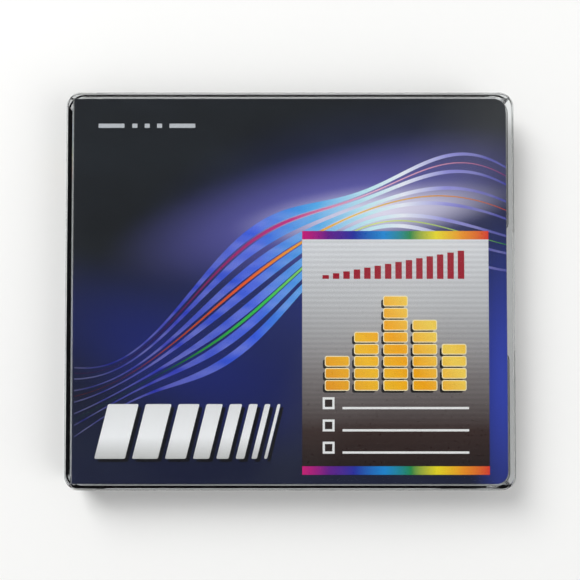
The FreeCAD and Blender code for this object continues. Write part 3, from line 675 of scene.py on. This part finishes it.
class PrintSpine(bpy.types.Operator):
    """Print the spine and the flap: ruled lines and a small spectrum bar on each"""
    bl_idname = "slip_case.print_spine"
    bl_label = "Spine and flap"

    def execute(self, context):
        settings = context.scene.print_look
        white = plain_ink("spine_white_ink", "#E9E9E6")
        half = CARD_HIGH.y
        margin = 4 * MM
        bar_length = 10 * MM
        thin = 0.3 * MM
        line_start = margin + bar_length + 3 * MM
        line_length = 2 * half - line_start - margin
        spectrum = printed_ink("spine_spectrum_ink", SPECTRUM, (0, half, 0),
                               (0, half - margin - bar_length, 0))
        bar, lines = bmesh.new(), bmesh.new()
        flat_rectangle(bar, margin - half, -1.1 * MM, bar_length, 2.2 * MM)
        for height in (-1.1, 0.7):
            flat_rectangle(lines, line_start - half, height * MM, line_length, thin)
        print_layer("spine_spectrum_bar", bar, 1, spectrum, SPINE)
        print_layer("spine_lines", lines, 1, white, SPINE)
        bar, lines = bmesh.new(), bmesh.new()
        inner = -settings.flap_width + 1.6 * MM
        flat_rectangle(bar, inner, half - margin - bar_length, 2 * MM, bar_length)
        for number in range(4):
            across = inner + number * 2.9 * MM + 0.4 * MM
            flat_rectangle(lines, across, margin - half, thin, line_length)
        print_layer("flap_spectrum_bar", bar, 1, spectrum, FLAP)
        print_layer("flap_lines", lines, 1, white, FLAP)
        return {"FINISHED"}


class CartridgeShell(bpy.types.Operator):
    """Give both halves of the cartridge their textured finish and the tab its colour"""
    bl_idname = "slip_case.cartridge_shell"
    bl_label = "Cartridge shell"

    def execute(self, context):
        settings = context.scene.cartridge_look
        shell = textured_polycarbonate(settings)
        dress("upper_shell", shell)
        dress("lower_shell", shell)
        self.ink_arrow(settings)
        dress("write_protect_tab", moulded_plastic("moulded_tab", tuple(settings.tab), 1.5 * MM, 0.38))
        return {"FINISHED"}

    @staticmethod
    def ink_arrow(settings):
        """Fill the sunk arrow with white ink."""
        arrow = bmesh.new()
        x = SHELL_LOW.x + settings.arrow_inset
        y = SHELL_HIGH.y - settings.arrow_inset
        bare = 0.05 * MM
        half_width = settings.arrow_width / 2 - bare
        half_length = settings.arrow_length / 2 - bare
        flat_shape(arrow, [(x - half_width, y - half_length), (x + half_width, y - half_length),
                           (x, y + half_length)])
        floor = Matrix.Translation((0, 0, SHELL_HIGH.z - settings.arrow_depth))
        print_layer("arrow_ink", arrow, 1, plain_ink("arrow_white_ink", "#DADBDC"), floor,
                    "cartridge")


class DiscAndHub(bpy.types.Operator):
    """Give the disc its mirror film and the hub plate its turned steel"""
    bl_idname = "slip_case.disc_and_hub"
    bl_label = "Disc and hub plate"

    def execute(self, context):
        settings = context.scene.cartridge_look
        dress("disc", recording_layer(settings))
        dress("hub_plate", turned_steel(settings))
        return {"FINISHED"}


class ShutterAndSlider(bpy.types.Operator):
    """Give the shutter its brushed steel and the slider its natural plastic"""
    bl_idname = "slip_case.shutter_and_slider"
    bl_label = "Shutter and slider"

    def execute(self, context):
        settings = context.scene.cartridge_look
        dress("shutter", brushed_steel(settings))
        dress("shutter_slider", moulded_plastic("natural_acetal", tuple(settings.slider), 2 * MM, 0.34))
        return {"FINISHED"}


def painted_floor(settings):
    """Matt painted board that keeps the object's shadow, and fades into the pale background far from it."""
    material, tree = new_tree("matt_painted_board")
    here = object_coordinates(tree)
    fine = scaled_noise(tree, here, (2 * MM,) * 3)
    tone = blend_colour(tree, spread(tree, fine, 0.0, 0.02), settings.floor, linear("#D8D8D6"))
    body = add_node(tree, "BsdfPrincipled", {"Base Color": tone, "Roughness": 0.9,
                                             "Specular IOR Level": 0.1})
    reach = add_node(tree, "VectorMath", {0: here}, operation="LENGTH").outputs["Value"]
    far = spread(tree, reach, 0.0, 1.0, settings.board, 3 * settings.board)
    path = add_node(tree, "LightPath")
    faded = add_node(tree, "Math", {0: far, 1: path.outputs["Is Camera Ray"]}, operation="MULTIPLY")
    pale = add_node(tree, "Emission", {"Color": opaque(settings.floor), "Strength": 1.0})
    both = add_node(tree, "MixShader", {0: faded.outputs["Value"], 1: body.outputs["BSDF"],
                                        2: pale.outputs["Emission"]})
    show(tree, both.outputs["Shader"])
    return material


class Stage(bpy.types.Operator):
    """Set the floor, the lights and the camera"""
    bl_idname = "slip_case.stage"
    bl_label = "Stage"

    def execute(self, context):
        settings = context.scene.stage_look
        self.lay_floor(settings)
        self.light_sky(settings)
        self.hang_lamp("key_lamp", settings.key, size=0.5, place=(-0.42, 0.5, 0.55))
        self.hang_lamp("fill_lamp", settings.fill, size=0.6, place=(0.62, -0.28, 0.5))
        self.set_camera(settings)
        context.scene.view_settings.view_transform = "Standard"
        return {"FINISHED"}

    @staticmethod
    def lay_floor(settings):
        """A wide board under the case."""
        bm = bmesh.new()
        bmesh.ops.create_grid(bm, x_segments=1, y_segments=1, size=3.0)
        bmesh.ops.translate(bm, verts=bm.verts[:], vec=(0, 0, CASE_LOW.z - 0.05 * MM))
        mesh = bpy.data.meshes.new("floor")
        bm.to_mesh(mesh)
        bm.free()
        mesh.materials.append(painted_floor(settings))
        floor = bpy.data.objects.new("floor", mesh)
        bpy.context.scene.collection.objects.link(floor)

    @staticmethod
    def light_sky(settings):
        """Light from all round, dimmer higher up, so that the print stays readable through the clear face."""
        world = bpy.data.worlds.new("studio")
        world.use_nodes = True
        tree = world.node_tree
        tree.nodes.clear()
        ways = add_node(tree, "TexCoord")
        height = add_node(tree, "SeparateXYZ", {"Vector": ways.outputs["Generated"]})
        sky = ramp(tree, height.outputs["Z"], [
            (0.0, (1.0, 1.0, 1.0)), (0.25, (0.8, 0.8, 0.8)), (0.55, (0.5, 0.5, 0.51)),
            (0.85, (0.3, 0.3, 0.31)), (1.0, (0.07, 0.07, 0.08))])
        opening = patch(tree, ways.outputs["Generated"], (0.13, 0.13, 0.98), (0.05, 0.3, 0.3),
                        math.radians(-32))
        sky = blend_colour(tree, spread(tree, opening, 0.0, settings.gleam, 0.0, 1.0), sky, (1.0, 1.0, 1.0))
        lit = add_node(tree, "Background", {"Color": sky, "Strength": settings.sky})
        seen = add_node(tree, "Background", {"Color": opaque(settings.floor), "Strength": 1.0})
        path = add_node(tree, "LightPath")
        both = add_node(tree, "MixShader", {0: path.outputs["Is Camera Ray"], 1: lit.outputs["Background"],
                                            2: seen.outputs["Background"]})
        add_node(tree, "OutputWorld", {"Surface": both.outputs["Shader"]})
        bpy.context.scene.world = world

    @staticmethod
    def hang_lamp(name, power, size, place):
        """A soft square lamp that faces the case and doesn't show in what is glossy or clear."""
        lamp = bpy.data.lights.new(name, "AREA")
        lamp.energy = power
        lamp.size = size
        holder = bpy.data.objects.new(name, lamp)
        holder.location = place
        holder.rotation_euler = Vector(place).to_track_quat("Z", "Y").to_euler()
        holder.visible_glossy = holder.visible_transmission = False
        bpy.context.scene.collection.objects.link(holder)

    @staticmethod
    def set_camera(settings):
        """A camera that looks down on the print, a little from its lower side."""
        camera = bpy.data.objects.new("camera", bpy.data.cameras.new("camera"))
        camera.data.lens = settings.lens
        camera.data.clip_start = 0.01
        aim = Vector((0, 0, CASE_HIGH.z))
        way = Vector((0, -math.sin(settings.lean), math.cos(settings.lean)))
        camera.location = aim + way * settings.distance
        camera.rotation_euler = (settings.lean, 0, 0)
        bpy.context.scene.collection.objects.link(camera)
        bpy.context.scene.camera = camera


OPERATORS = (ClearCase, CardGround, PrintRibbons, PrintPanel, PrintMeter, PrintBars, PrintSpine,
             CartridgeShell, DiscAndHub, ShutterAndSlider, Stage)
SETTINGS = {"case_look": CaseSettings, "print_look": PrintSettings, "cartridge_look": CartridgeSettings,
            "stage_look": StageSettings}


class SlipCasePanel(bpy.types.Panel):
    """Sizes and colours of the cased disc, and a button for each of its pieces"""
    bl_idname = "VIEW3D_PT_slip_case"
    bl_label = "Slip case"
    bl_space_type = "VIEW_3D"
    bl_region_type = "UI"
    bl_category = "Slip case"

    def draw(self, context):
        for name, group in SETTINGS.items():
            box = self.layout.box()
            for setting in group.__annotations__:
                box.prop(getattr(context.scene, name), setting)
        for operator in OPERATORS:
            self.layout.operator(operator.bl_idname)


CLASSES = (*SETTINGS.values(), *OPERATORS, SlipCasePanel)


def register():
    for item in CLASSES:
        bpy.utils.register_class(item)
    for name, group in SETTINGS.items():
        setattr(bpy.types.Scene, name, bpy.props.PointerProperty(type=group))


def unregister():
    for name in SETTINGS:
        delattr(bpy.types.Scene, name)
    for item in reversed(CLASSES):
        bpy.utils.unregister_class(item)


def main():
    """Make every piece and the stage."""
    register()
    for operator in OPERATORS:
        getattr(bpy.ops.slip_case, operator.bl_idname.split(".")[1])()


if __name__ == "__main__":
    main()
